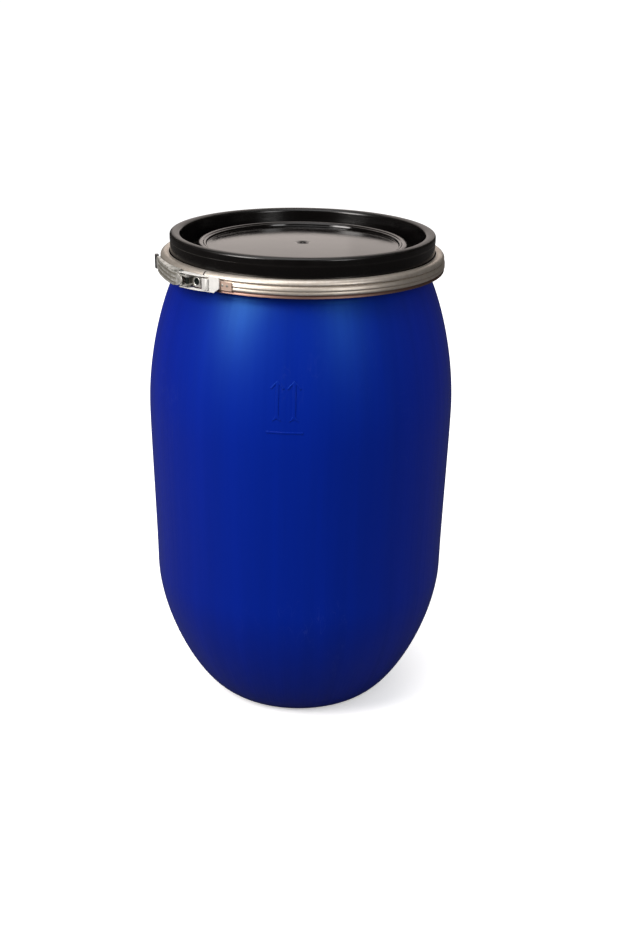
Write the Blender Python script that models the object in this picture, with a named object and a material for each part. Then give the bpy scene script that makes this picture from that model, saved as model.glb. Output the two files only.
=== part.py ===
"""Blow-moulded open-top drum with a moulded lid and a lever-lock clamp ring.

Metres, +Z up. The drum stands on the origin and its axis is Z. Latch parts are placed by
their distance rho from the axis and their bearing, in degrees from -Y round towards -X.
"""
import math

import bmesh
import bpy
from mathutils import Matrix, Vector
from mathutils.geometry import interpolate_bezier

# Driving dimensions
TOTAL_HEIGHT = 0.800
BODY_RADIUS = 0.2522
WALL = 0.0035
TURN_STEPS = 64
GAP = 0.0003

# Drum body, as (radius, height) along its outer side
BASE_PUSH_UP = 0.009
BASE_PUSH_UP_RADIUS = 0.104
FOOT_INNER_RADIUS = 0.118
FOOT_OUTER_RADIUS = 0.139
CHIME_START = (0.1475, 0.0035)
CHIME_TOP = (0.2459, 0.2320)
BELLY = (BODY_RADIUS, 0.5126)
NECK_ROOT = (0.2055, 0.7330)
# Its Bezier stretches, from the chime up: first handle, second handle, end, steps
BODY_STRETCHES = [((0.1851, 0.0249), (0.2455, 0.1401), CHIME_TOP, 6),
                  ((0.2461, 0.2934), (BODY_RADIUS, 0.4597), BELLY, 3),
                  ((BODY_RADIUS, 0.6055), (0.2253, 0.6957), NECK_ROOT, 6)]
NECK_RADIUS = 0.2075
NECK_TOP = 0.7900
DRUM_FLANGE = (0.2222, 0.7440, 0.7545)

# Lid
COLLAR_RADIUS = 0.2131
COLLAR_WALL = 0.0033
LAND_INNER_RADIUS = 0.1970
LID_SKIN = 0.003
GUTTER_FLOOR = 0.7620
GUTTER_INNER_RADIUS = 0.1730
LEDGE_TOP = 0.7832
LEDGE_OUTER_RADIUS = 0.1690
LEDGE_INNER_RADIUS = 0.1560
PANEL_EDGE = 0.7775
PANEL_CROWN = 0.0030
LAND_ROUND = 0.0035
LID_FLANGE = (0.2222, 0.7549, 0.7660)

# Clamp ring band
BAND_RADIUS = 0.2295
BAND_SHEET = 0.0012
BAND_TOP = 0.7696
BAND_BOTTOM = 0.7422
BAND_GAP_BEARING = 39.7
BAND_GAP_ANGLE = 1.0

# Latch: heights are half-heights about LATCH_Z
LATCH_Z = 0.7542
PIVOT_BEARING = 45.8
PIVOT_RHO = 0.2385
LEVER_ARM = 0.013
SEAT_RHO = BAND_RADIUS + GAP
PLATE_RHO = SEAT_RHO + 0.0015
BRACKET_BEARINGS = (40.5, 49.6)
BRACKET_PLATE_HALF = 0.0090
EAR_OUTER_HALF = 0.0065
EAR_INNER_HALF = 0.0050
EAR_RADIUS = 0.0040
EAR_ROOT_HALF = 0.0052
CUT_OVERRUN = 0.0020
PIVOT_PIN_RADIUS = 0.0025
LINK_PIN_RADIUS = 0.0022
PIN_CLEARANCE = 0.0003
NARROW_HALF = 0.0081
NARROW_INNER_HALF = 0.0069
WIDE_HALF = 0.0117
WIDE_INNER_HALF = 0.0104
LEVER_SHEET = 0.0014
LEVER_END_RADIUS = 0.0056
STEP_BEARING = 52.2
LEVER_END_BEARING = 77.0
TONGUE_HALF = 0.0088
GRIP_HALF = 0.0108
LEG_INNER_HALF = 0.0102
EYE_RADIUS = 0.0040
HEAD_BEARINGS = (31.0, 35.6)
HEAD_RHO = (0.2330, 0.2352)
LUG_BEARINGS = (35.72, 36.09)
NOSE_BEARING = 38.2
LUG_HALF = 0.0085
NOSE_RHO = (0.2370, 0.2385)
HOOK_PLATE_HALF = 0.0065
HOOK_PLATE_START = 26.2

# Rivet heads: name, bearing, height, radius, rise
RIVETS = [("fulcrum_rivet_1", 42.3, LATCH_Z - 0.0005, 0.0058, 0.0018),
          ("fulcrum_rivet_2", 48.5, LATCH_Z, 0.0028, 0.0010),
          ("hook_rivet_1", 28.1, LATCH_Z + 0.0010, 0.0022, 0.0008),
          ("hook_rivet_2", 30.1, LATCH_Z + 0.0010, 0.0022, 0.0008)]
# Pin heads: radius, height
LEVER_PIN_HEAD = (0.0040, 0.0012)
LINK_PIN_HEAD = (0.0036, 0.0010)

# Latch outlines in plan, as (rho, bearing), from the pin end towards the grip or the hook
NARROW_BACK = [(0.2449, 47.0), (0.2447, 50.0), (0.2441, STEP_BEARING + 0.4)]
NARROW_FRONT = [(0.2325, STEP_BEARING + 0.4), (0.2325, 48.0)]
NARROW_MOUTH = [(0.2280, 43.0), (0.2520, 43.0), (0.2520, 47.0)]
LEVER_CROWN = [(0.2442, STEP_BEARING), (0.2418, 57.0), (0.2386, 63.0), (0.2362, 69.0),
               (0.2348, 74.0), (0.2345, LEVER_END_BEARING)]
LEVER_EDGE_RHO = 0.2306
TONGUE_BACK = [(0.2345, 76.2), (0.2346, 78.2), (0.2354, 80.0), (0.2358, 81.6)]
GRIP_BACK = [(0.2352, 79.2), (0.2370, 80.4), (0.2373, 82.2)]
GRIP_FRONT = [(0.2361, 82.6), (0.2325, 82.6), (0.2309, 82.0), (0.2309, 79.2)]
POCKET_BACK = [(0.2352, 78.8), (0.2357, 80.0), (0.2361, 81.9)]
LINK_BACK = [(0.2412, 44.0), (0.2388, 40.0), (HEAD_RHO[1], 36.4), (HEAD_RHO[1], HEAD_BEARINGS[1])]
LINK_FRONT = [(HEAD_RHO[0], HEAD_BEARINGS[1]), (0.2326, 38.0), (0.2330, 43.0)]
LINK_WINDOW = [(0.2220, HEAD_BEARINGS[1]), (0.2560, HEAD_BEARINGS[1]), (0.2620, 45.0),
               (0.2560, 53.0), (0.2220, 53.0)]


def clear_scene():
    """Remove whatever the file holds."""
    for item in list(bpy.data.objects):
        bpy.data.objects.remove(item, do_unlink=True)


def material(name, colour, roughness, metallic=0.0):
    """A Principled material of one colour."""
    mat = bpy.data.materials.new(name)
    mat.use_nodes = True
    shader = mat.node_tree.nodes["Principled BSDF"]
    shader.inputs["Base Color"].default_value = (*colour, 1.0)
    shader.inputs["Roughness"].default_value = roughness
    shader.inputs["Metallic"].default_value = metallic
    return mat


def add_object(name, bm, mat, pivot=None):
    """Turn a world-space bmesh into an object whose origin sits at the pivot."""
    bmesh.ops.recalc_face_normals(bm, faces=bm.faces)
    if pivot is not None:
        bmesh.ops.translate(bm, verts=bm.verts, vec=-pivot)
    mesh = bpy.data.meshes.new(name)
    bm.to_mesh(mesh)
    bm.free()
    obj = bpy.data.objects.new(name, mesh)
    bpy.context.scene.collection.objects.link(obj)
    if pivot is not None:
        obj.location = pivot
    if mat is not None:
        mesh.materials.append(mat)
        mesh.shade_smooth()
        mesh.set_sharp_from_angle(angle=math.radians(35))
    return obj


def combine(target, bm, operation, name):
    """Join a hidden solid to the target, or cut it away."""
    tool = add_object(name, bm, None)
    tool.hide_render = True
    tool.display_type = "WIRE"
    step = target.modifiers.new(name, "BOOLEAN")
    step.object = tool
    step.operation = operation
    step.solver = "EXACT"


def curve(start, handle_a, handle_b, end, steps):
    """Points of one Bezier stretch of an outline, without its first point."""
    knots = [Vector(point).to_3d() for point in (start, handle_a, handle_b, end)]
    points = interpolate_bezier(*knots, steps + 1)
    return [(point.x, point.y) for point in points[1:]]


def arc(centre, radius, start, end, steps):
    """Points of a circular stretch, both ends included, angles in degrees."""
    points = []
    for index in range(steps + 1):
        angle = math.radians(start + (end - start) * index / steps)
        points.append((centre[0] + radius * math.cos(angle), centre[1] + radius * math.sin(angle)))
    return points


def turned(outline, closed, steps=TURN_STEPS, start=0.0, sweep=360.0):
    """Spin an outline of (radius, height) points about the Z axis."""
    bm = bmesh.new()
    turn = Matrix.Rotation(math.radians(start), 3, "Z")
    verts = [bm.verts.new(turn @ Vector((radius, 0.0, height))) for radius, height in outline]
    edges = [bm.edges.new(pair) for pair in zip(verts, verts[1:])]
    geometry = verts + edges
    full = abs(sweep - 360.0) < 1e-6
    if closed:
        geometry.append(bm.edges.new((verts[-1], verts[0])))
        if not full:
            geometry.append(bm.faces.new(verts))
    bmesh.ops.spin(bm, geom=geometry, cent=(0, 0, 0), axis=(0, 0, 1), angle=math.radians(sweep),
                   steps=steps, use_merge=full, use_duplicate=False)
    bmesh.ops.remove_doubles(bm, verts=bm.verts, dist=1e-6)
    return bm


def polar(rho, bearing):
    """The plan point at a distance and a bearing from the drum's axis."""
    angle = math.radians(bearing)
    return Vector((-rho * math.sin(angle), -rho * math.cos(angle)))


def plan(points):
    """The plan outline of a list of (rho, bearing) points."""
    return [polar(rho, bearing) for rho, bearing in points]


PIVOT = polar(PIVOT_RHO, PIVOT_BEARING)
TANGENT = Vector((-math.cos(math.radians(PIVOT_BEARING)), math.sin(math.radians(PIVOT_BEARING))))
OUTWARD = PIVOT.normalized()
LINK_PIVOT = PIVOT + LEVER_ARM * TANGENT


def near_pivot(along, out):
    """The plan point a distance along the ring and outward from the lever's pivot."""
    return PIVOT + along * TANGENT + out * OUTWARD


def rounded(centre, radius, start, end, steps):
    """A plan arc about a pivot; 0 degrees points along the ring and 90 outward."""
    return [centre + x * TANGENT + y * OUTWARD for x, y in arc((0, 0), radius, start, end, steps)]


def prism(outline, low, high):
    """A plan outline raised from one height to another."""
    bm = bmesh.new()
    face = bm.faces.new([bm.verts.new((point[0], point[1], low)) for point in outline])
    raised = bmesh.ops.extrude_face_region(bm, geom=[face])
    top = [item for item in raised["geom"] if isinstance(item, bmesh.types.BMVert)]
    bmesh.ops.translate(bm, verts=top, vec=(0, 0, high - low))
    bmesh.ops.recalc_face_normals(bm, faces=bm.faces)
    return bm


def latch_prism(outline, half_height):
    """A plan outline raised evenly about the latch's middle height."""
    return prism(outline, LATCH_Z - half_height, LATCH_Z + half_height)


def sector(rho_low, rho_high, first, last, steps=4):
    """A curved strip's plan outline between two bearings."""
    bearings = [first + (last - first) * index / steps for index in range(steps + 1)]
    inner = [polar(rho_low, bearing) for bearing in bearings]
    outer = [polar(rho_high, bearing) for bearing in reversed(bearings)]
    return inner + outer


def pin(centre, radius, half_height, head_radius=0.0, head_height=0.0):
    """An upright pin about the latch's middle height, with a head at each end."""
    outline = [(0.0, half_height), (radius, half_height), (radius, 0.0)]
    if head_radius:
        tip = half_height + head_height
        chamfer = 0.3 * head_height
        outline = [(0.0, tip), (head_radius - chamfer, tip), (head_radius, tip - chamfer),
                   (head_radius, half_height), (radius, half_height), (radius, 0.0)]
    lower = [(x, -y) for x, y in reversed(outline[:-1])]
    bm = turned(outline[:-1] + lower, closed=False, steps=20)
    bmesh.ops.translate(bm, verts=bm.verts, vec=(centre.x, centre.y, LATCH_Z))
    return bm


def add_rivet(name, bearing, height, radius, rise, mat):
    """A low domed rivet head standing on a latch plate."""
    spot = polar(PLATE_RHO + GAP + 0.5 * rise, bearing)
    facing = Vector((spot.x, spot.y, 0.0)).to_track_quat("Z", "Y").to_matrix().to_4x4()
    place = Matrix.Translation((spot.x, spot.y, height)) @ facing
    bm = bmesh.new()
    bmesh.ops.create_cone(bm, cap_ends=True, segments=16, radius1=radius, radius2=0.72 * radius,
                          depth=rise, matrix=place)
    add_object(name, bm, mat)


def skin_inside(outside):
    """The inner side of a wall of even depth, for an outline that runs up the outer side."""
    inside = []
    for before, point, after in zip(outside[:1] + outside, outside, outside[1:] + outside[-1:]):
        along = (Vector(after) - Vector(before)).normalized()
        inside.append((point[0] - WALL * along.y, point[1] + WALL * along.x))
    return inside


def build_drum_body(mat):
    """One blown skin: pushed-up base, foot, chime, belly, neck, flange and rolled lip."""
    lip = 0.5 * WALL
    skin = [(0.0, BASE_PUSH_UP), (BASE_PUSH_UP_RADIUS, BASE_PUSH_UP), (FOOT_INNER_RADIUS, 0.0),
            (FOOT_OUTER_RADIUS, 0.0), CHIME_START]
    for handle_a, handle_b, end, steps in BODY_STRETCHES:
        skin += curve(skin[-1], handle_a, handle_b, end, steps)
    flange_radius, flange_low, flange_high = DRUM_FLANGE
    flange = [(NECK_ROOT[0], flange_low), (flange_radius, flange_low),
              (flange_radius, flange_high), (NECK_RADIUS, flange_high)]
    rim = arc((NECK_RADIUS - lip, NECK_TOP - lip), lip, 0, 180, 4)
    neck_inside = [(NECK_RADIUS - WALL, flange_low)]
    inside = list(reversed(skin_inside(skin)))
    add_object("drum_body", turned(skin + flange + rim + neck_inside + inside, closed=False), mat)


def build_lid(mat):
    """The lid: sunk and slightly crowned panel, ledge, gutter, hollow collar and clamping flange."""
    flange_radius, flange_low, flange_high = LID_FLANGE
    bore_inner = LAND_INNER_RADIUS + LID_SKIN
    bore_outer = COLLAR_RADIUS - COLLAR_WALL
    draft = 0.5 * LID_SKIN
    panel_radius = LEDGE_INNER_RADIUS - draft
    panel = [(share * panel_radius, PANEL_EDGE + PANEL_CROWN * (1.0 - share ** 2))
             for share in (0.0, 0.5, 1.0)]
    land_z = TOTAL_HEIGHT - LAND_ROUND
    top_side = panel + [(LEDGE_INNER_RADIUS, LEDGE_TOP), (LEDGE_OUTER_RADIUS, LEDGE_TOP),
                        (GUTTER_INNER_RADIUS, GUTTER_FLOOR), (LAND_INNER_RADIUS - 2 * draft, GUTTER_FLOOR)]
    top_side += arc((LAND_INNER_RADIUS + LAND_ROUND, land_z), LAND_ROUND, 180, 90, 3)
    top_side += arc((COLLAR_RADIUS - LAND_ROUND, land_z), LAND_ROUND, 90, 0, 3)
    rim = [(COLLAR_RADIUS, flange_high + draft), (flange_radius, flange_high),
           (flange_radius, flange_low), (bore_outer, flange_low)]
    underside = [(bore_outer, TOTAL_HEIGHT - LID_SKIN), (bore_inner, TOTAL_HEIGHT - LID_SKIN),
                 (LAND_INNER_RADIUS, GUTTER_FLOOR - LID_SKIN),
                 (GUTTER_INNER_RADIUS - LID_SKIN, GUTTER_FLOOR - LID_SKIN),
                 (LEDGE_OUTER_RADIUS - LID_SKIN, LEDGE_TOP - LID_SKIN),
                 (LEDGE_INNER_RADIUS + LID_SKIN, LEDGE_TOP - LID_SKIN),
                 (LEDGE_INNER_RADIUS + draft, PANEL_EDGE - LID_SKIN)]
    underside += [(radius, height - LID_SKIN) for radius, height in reversed(panel[:-1])]
    add_object("lid", turned(top_side + rim + underside, closed=False), mat)


def build_gasket(mat):
    """The foam ring in the top of the lid's collar, on the drum's lip."""
    inner = LAND_INNER_RADIUS + LID_SKIN + GAP
    outer = COLLAR_RADIUS - COLLAR_WALL - GAP
    low = NECK_TOP + GAP
    high = TOTAL_HEIGHT - LID_SKIN - GAP
    edge = 0.0012
    section = [(inner, high - edge), (inner + edge, high), (outer - edge, high), (outer, high - edge),
               (outer, low + edge), (outer - edge, low), (inner + edge, low), (inner, low + edge)]
    add_object("lid_gasket", turned(section, closed=True), mat)


def build_ring_band(mat):
    """The split rolled band: shoulder, groove, bead, lower groove and two lips."""
    sheet = BAND_SHEET
    bead = BAND_RADIUS
    outside = [(0.2147, BAND_TOP), (0.2205, BAND_TOP - 0.0002), (0.2252, BAND_TOP - 0.0016),
               (0.2278, BAND_TOP - 0.0042), (0.2282, BAND_TOP - 0.0072), (0.2272, BAND_TOP - 0.0088),
               (bead - 0.0006, BAND_TOP - 0.0112), (bead, BAND_TOP - 0.0140),
               (bead - 0.0006, BAND_TOP - 0.0172), (0.2268, BAND_TOP - 0.0225),
               (0.2264, BAND_TOP - 0.0242), (0.2262, BAND_BOTTOM + 0.0012), (0.2250, BAND_BOTTOM)]
    inside = [(0.2250, BAND_BOTTOM + sheet), (0.2252, BAND_TOP - 0.0242), (0.2257, BAND_TOP - 0.0222),
              (bead - 0.0018, BAND_TOP - 0.0168), (bead - sheet, BAND_TOP - 0.0140),
              (bead - 0.0018, BAND_TOP - 0.0116), (0.2260, BAND_TOP - 0.0090),
              (0.2269, BAND_TOP - 0.0070), (0.2266, BAND_TOP - 0.0046), (0.2246, BAND_TOP - 0.0028),
              (0.2203, BAND_TOP - 0.0014), (0.2147, BAND_TOP - sheet)]
    section = outside + [(0.2160, BAND_BOTTOM), (0.2160, BAND_BOTTOM + sheet)] + inside
    start = 270.0 - BAND_GAP_BEARING + 0.5 * BAND_GAP_ANGLE
    band = turned(section, closed=True, start=start, sweep=360.0 - BAND_GAP_ANGLE)
    add_object("ring_band", band, mat)


def build_fulcrum_bracket(mat):
    """The lug on one ring end: a riveted plate with two ears for the lever's pin."""
    plate = sector(SEAT_RHO, PLATE_RHO, *BRACKET_BEARINGS)
    bracket = add_object("fulcrum_bracket", latch_prism(plate, BRACKET_PLATE_HALF), mat)
    root = PLATE_RHO - PIVOT_RHO - 2 * GAP
    ears = rounded(PIVOT, EAR_RADIUS, 0, 180, 8)
    ears += [near_pivot(-EAR_ROOT_HALF, root), near_pivot(EAR_ROOT_HALF, root)]
    combine(bracket, latch_prism(ears, EAR_OUTER_HALF), "UNION", "tool_ears")
    reach = 2 * EAR_ROOT_HALF
    between = [near_pivot(-reach, root + 0.0007), near_pivot(reach, root + 0.0007),
               near_pivot(reach, reach), near_pivot(-reach, reach)]
    combine(bracket, latch_prism(between, EAR_INNER_HALF), "DIFFERENCE", "cut_between_ears")
    bore = pin(PIVOT, PIVOT_PIN_RADIUS + PIN_CLEARANCE, EAR_OUTER_HALF + CUT_OVERRUN)
    combine(bracket, bore, "DIFFERENCE", "cut_ear_bores")


def build_hook_plate(mat):
    """The plate on the other ring end, bent up into a lug with a nose."""
    plate = sector(SEAT_RHO, PLATE_RHO, HOOK_PLATE_START, LUG_BEARINGS[1])
    hook = add_object("hook_plate", latch_prism(plate, HOOK_PLATE_HALF), mat)
    lug = sector(SEAT_RHO + 0.0002, NOSE_RHO[1], LUG_BEARINGS[0], LUG_BEARINGS[1] - 0.02, 1)
    combine(hook, latch_prism(lug, LUG_HALF), "UNION", "tool_lug")
    nose = sector(NOSE_RHO[0], NOSE_RHO[1] + 0.0002, LUG_BEARINGS[0] + 0.05, NOSE_BEARING, 2)
    combine(hook, latch_prism(nose, LUG_HALF - GAP), "UNION", "tool_nose")


def build_lever(mat, pivot):
    """The stamped channel: narrow at its pins, wide along the ring, a flat tongue at its tip."""
    narrow = rounded(PIVOT, LEVER_END_RADIUS, 270, 90, 8) + plan(NARROW_BACK + NARROW_FRONT)
    lever = add_object("lever", latch_prism(narrow, NARROW_HALF), mat, pivot)
    edge = [(LEVER_EDGE_RHO, bearing) for rho, bearing in reversed(LEVER_CROWN)]
    combine(lever, latch_prism(plan(LEVER_CROWN + edge), WIDE_HALF), "UNION", "tool_wide")
    tongue_front = [(rho - LEVER_SHEET, bearing) for rho, bearing in reversed(TONGUE_BACK)]
    combine(lever, latch_prism(plan(TONGUE_BACK + tongue_front), TONGUE_HALF), "UNION", "tool_tongue")
    floor = [(rho - LEVER_SHEET, bearing) for rho, bearing in NARROW_BACK]
    floor.append((floor[-1][0], STEP_BEARING + 1.0))
    mouth_end = (NARROW_MOUTH[0][0], STEP_BEARING + 1.0)
    hollow = plan(NARROW_MOUTH + floor + [mouth_end])
    combine(lever, latch_prism(hollow, NARROW_INNER_HALF), "DIFFERENCE", "cut_narrow")
    first_rho, last_rho = LEVER_CROWN[0][0] - LEVER_SHEET, LEVER_CROWN[-1][0] - LEVER_SHEET
    inner_crown = [(first_rho, STEP_BEARING + 0.4)]
    inner_crown += [(rho - LEVER_SHEET, bearing) for rho, bearing in LEVER_CROWN[1:-1]]
    inner_crown.append((last_rho, LEVER_END_BEARING - 0.8))
    mouth = [(NARROW_MOUTH[0][0], bearing) for rho, bearing in reversed(inner_crown)]
    combine(lever, latch_prism(plan(inner_crown + mouth), WIDE_INNER_HALF), "DIFFERENCE", "cut_wide")
    bore = pin(PIVOT, PIVOT_PIN_RADIUS + PIN_CLEARANCE, NARROW_HALF + CUT_OVERRUN)
    combine(lever, bore, "DIFFERENCE", "cut_pivot_bore")
    bore = pin(LINK_PIVOT, LINK_PIN_RADIUS + PIN_CLEARANCE, NARROW_HALF + CUT_OVERRUN)
    combine(lever, bore, "DIFFERENCE", "cut_link_bore")


def build_lever_grip(mat, pivot):
    """The moulded cap pushed on the lever's tongue."""
    grip = add_object("lever_grip", latch_prism(plan(GRIP_BACK + GRIP_FRONT), GRIP_HALF), mat, pivot)
    depth = LEVER_SHEET + 2 * GAP
    pocket_front = [(rho - depth, bearing) for rho, bearing in reversed(POCKET_BACK)]
    pocket = latch_prism(plan(POCKET_BACK + pocket_front), TONGUE_HALF + GAP)
    combine(grip, pocket, "DIFFERENCE", "cut_pocket")


def build_link(mat, pivot):
    """The link: two legs that straddle the lever, and a head that bears on the lug."""
    middle = 0.5 * (HEAD_BEARINGS[0] + HEAD_BEARINGS[1])
    head = [(HEAD_RHO[1], middle), (HEAD_RHO[1], HEAD_BEARINGS[0]),
            (HEAD_RHO[0], HEAD_BEARINGS[0]), (HEAD_RHO[0], middle)]
    outline = rounded(LINK_PIVOT, EYE_RADIUS, -90, 90, 8) + plan(LINK_BACK + head + LINK_FRONT)
    link = add_object("link", latch_prism(outline, WIDE_HALF), mat, pivot)
    combine(link, latch_prism(plan(LINK_WINDOW), LEG_INNER_HALF), "DIFFERENCE", "cut_window")
    bore = pin(LINK_PIVOT, LINK_PIN_RADIUS + PIN_CLEARANCE, WIDE_HALF + CUT_OVERRUN)
    combine(link, bore, "DIFFERENCE", "cut_eye_bores")


def main():
    """Build every piece of the drum, its lid and its clamp ring."""
    clear_scene()
    blue = material("drum_blue", (0.006, 0.020, 0.300), 0.38)
    black = material("lid_black", (0.010, 0.010, 0.011), 0.32)
    foam = material("gasket_foam", (0.120, 0.120, 0.125), 0.90)
    band_zinc = material("band_zinc", (0.620, 0.600, 0.560), 0.34, 1.0)
    latch_zinc = material("latch_zinc", (0.680, 0.670, 0.640), 0.30, 1.0)
    grip_black = material("grip_black", (0.015, 0.015, 0.016), 0.45)
    lever_pivot = Vector((PIVOT.x, PIVOT.y, LATCH_Z))
    link_pivot = Vector((LINK_PIVOT.x, LINK_PIVOT.y, LATCH_Z))
    build_drum_body(blue)
    build_lid(black)
    build_gasket(foam)
    build_ring_band(band_zinc)
    build_fulcrum_bracket(latch_zinc)
    build_hook_plate(latch_zinc)
    for name, bearing, height, radius, rise in RIVETS:
        add_rivet(name, bearing, height, radius, rise, latch_zinc)
    lever_pin = pin(PIVOT, PIVOT_PIN_RADIUS, NARROW_HALF + GAP, *LEVER_PIN_HEAD)
    add_object("lever_pin", lever_pin, latch_zinc, lever_pivot)
    build_lever(latch_zinc, lever_pivot)
    build_lever_grip(grip_black, lever_pivot)
    link_pin = pin(LINK_PIVOT, LINK_PIN_RADIUS, WIDE_HALF + GAP, *LINK_PIN_HEAD)
    add_object("link_pin", link_pin, latch_zinc, link_pivot)
    build_link(latch_zinc, link_pivot)


main()
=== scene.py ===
"""Looks of a blow-moulded open-top drum: skin, lid, rolled clamp ring and lever latch.

Metres, +Z up. Latch parts are placed by rho, their distance from the drum's axis, and by
their bearing in degrees from -Y round towards -X.
"""

import math

import bmesh
import bpy
from bpy.props import FloatProperty, FloatVectorProperty, IntProperty, PointerProperty
from mathutils import Matrix, Vector
from mathutils.geometry import interpolate_bezier


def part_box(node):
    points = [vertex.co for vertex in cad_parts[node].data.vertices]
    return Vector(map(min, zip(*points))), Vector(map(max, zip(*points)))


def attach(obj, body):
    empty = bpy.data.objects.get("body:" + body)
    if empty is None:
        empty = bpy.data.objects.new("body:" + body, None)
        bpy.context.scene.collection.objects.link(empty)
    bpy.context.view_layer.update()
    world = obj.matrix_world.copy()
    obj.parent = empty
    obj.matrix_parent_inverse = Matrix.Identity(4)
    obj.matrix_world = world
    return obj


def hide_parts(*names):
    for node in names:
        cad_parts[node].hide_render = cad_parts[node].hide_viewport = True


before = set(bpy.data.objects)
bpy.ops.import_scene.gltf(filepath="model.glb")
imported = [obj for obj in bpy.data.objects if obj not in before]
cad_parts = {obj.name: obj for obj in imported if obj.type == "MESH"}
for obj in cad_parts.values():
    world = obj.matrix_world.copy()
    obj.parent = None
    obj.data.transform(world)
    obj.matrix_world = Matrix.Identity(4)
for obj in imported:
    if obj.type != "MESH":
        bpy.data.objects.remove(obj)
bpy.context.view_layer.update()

bl_info = {
    "name": "Open-Top Drum",
    "version": (1, 0, 0),
    "blender": (4, 5, 0),
    "location": "View3D > Sidebar > Drum",
    "description": "Builds the drum's skin, lid, clamp ring and latch with their finishes",
    "category": "Object",
}

# Driving sizes, from the frame
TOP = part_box("lid")[1][2]
BODY_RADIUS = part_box("drum_body")[1][0]
NECK_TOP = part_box("drum_body")[1][2]
BAND_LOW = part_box("ring_band")[0][2]
BAND_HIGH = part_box("ring_band")[1][2]
BAND_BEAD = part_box("ring_band")[1][0]
LATCH_Z = 0.5 * (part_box("lever")[0][2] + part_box("lever")[1][2])

# Drum skin, as (radius, height) along its outer side
WALL = 0.0035
CHIME_START = (0.1475, 0.0035)
CHIME_TOP = (BODY_RADIUS - 0.0063, 0.2320)
BELLY = (BODY_RADIUS, 0.5126)
NECK_ROOT = (0.2055, 0.7330)
NECK_RADIUS = 0.2075
# Bezier stretches from the chime up: first handle, second handle, end, steps
BODY_STRETCHES = [((0.1851, 0.0249), (CHIME_TOP[0] - 0.0004, 0.1401), CHIME_TOP, 26),
                  ((CHIME_TOP[0] + 0.0002, 0.2934), (BODY_RADIUS, 0.4597), BELLY, 14),
                  ((BODY_RADIUS, 0.6055), (0.2253, 0.6957), NECK_ROOT, 26)]
# Foot and base, as (radius, height, ease)
BASE_CORNERS = [(0.0, 0.0090, 0.0), (0.1040, 0.0090, 0.0050), (0.1180, 0.0, 0.0050),
                (0.1390, 0.0, 0.0045), (*CHIME_START, 0.0)]
FLANGE_RADIUS = 0.2222
DRUM_FLANGE = (0.7440, 0.7545)
LID_FLANGE = (0.7549, 0.7660)
PINCH_SIZE = (0.180, 0.0024, 0.0024)
PINCH_LEVEL = 0.0086
PINCH_ROUND = 0.0007

# Lid, from its middle out, as (radius, height, ease)
COLLAR_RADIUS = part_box("lid")[1][0] - FLANGE_RADIUS + 0.2131
PANEL_EDGE = 0.7775
PANEL_CROWN = 0.0030
PANEL_RADIUS = 0.1535
DIMPLE_RADIUS = 0.0070
LEDGE_TOP = 0.7832
GUTTER_FLOOR = 0.7620
LAND_INNER = 0.1970
LID_SKIN = 0.0030
PANEL_RINGS = 18
PANEL_MIDDLE = PANEL_EDGE + PANEL_CROWN
CENTRE_MARK = [(0.0, PANEL_MIDDLE - 0.0004), (0.0012, PANEL_MIDDLE - 0.0006),
               (0.0018, PANEL_MIDDLE - 0.0018), (0.0040, PANEL_MIDDLE - 0.0018),
               (0.0052, PANEL_MIDDLE - 0.0010), (DIMPLE_RADIUS, PANEL_MIDDLE)]
# From the panel's edge over the ledge, gutter, land and flange, then back underneath
LID_CORNERS = [(0.1545, PANEL_EDGE, 0.0010), (0.1556, 0.7812, 0.0012), (0.1585, 0.7812, 0.0006),
               (0.1598, LEDGE_TOP - 0.0006, 0.0012), (0.1635, LEDGE_TOP + 0.0004, 0.0022),
               (0.1690, LEDGE_TOP - 0.0012, 0.0030), (0.1712, GUTTER_FLOOR, 0.0030),
               (0.1942, GUTTER_FLOOR, 0.0040), (LAND_INNER, TOP - 0.0030, 0.0030),
               (0.2050, TOP + 0.0007, 0.0056), (COLLAR_RADIUS, TOP - 0.0022, 0.0030),
               (COLLAR_RADIUS, 0.7876, 0.0010), (COLLAR_RADIUS - 0.0004, 0.7866, 0.0010),
               (COLLAR_RADIUS - 0.0002, LID_FLANGE[1], 0.0022),
               (FLANGE_RADIUS, LID_FLANGE[1], 0.0016), (FLANGE_RADIUS, LID_FLANGE[0], 0.0016),
               (COLLAR_RADIUS - 0.0033, LID_FLANGE[0], 0.0010),
               (COLLAR_RADIUS - 0.0033, TOP - LID_SKIN, 0.0012),
               (LAND_INNER + LID_SKIN, TOP - LID_SKIN, 0.0012),
               (LAND_INNER, GUTTER_FLOOR - LID_SKIN, 0.0030),
               (0.1700, GUTTER_FLOOR - LID_SKIN, 0.0030), (0.1660, LEDGE_TOP - LID_SKIN, 0.0020),
               (0.1590, LEDGE_TOP - LID_SKIN, 0.0020), (0.1575, PANEL_EDGE - LID_SKIN, 0.0015)]

# Raised handling arrows on the drum's front: bearings, sizes and heights
ARROW_BEARINGS = (7.8, 1.8)
ARROW_TIP = 0.6225
ARROW_SHOULDER = 0.6105
ARROW_TAIL = 0.5605
ARROW_HEAD_HALF = 0.0110
ARROW_SHAFT_HALF = 0.0026
ARROW_TAIL_HALF = 0.0072
BAR_BEARING = 5.0
BAR_HEIGHT = 0.5435
BAR_HALF = 0.0280
# Where flat marks are cut before they are laid on the curved wall
CUT_HEIGHTS = [0.5400 + 0.004 * step for step in range(22)]
CUT_WIDTHS = [-0.027 + 0.003 * step for step in range(19)]

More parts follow.
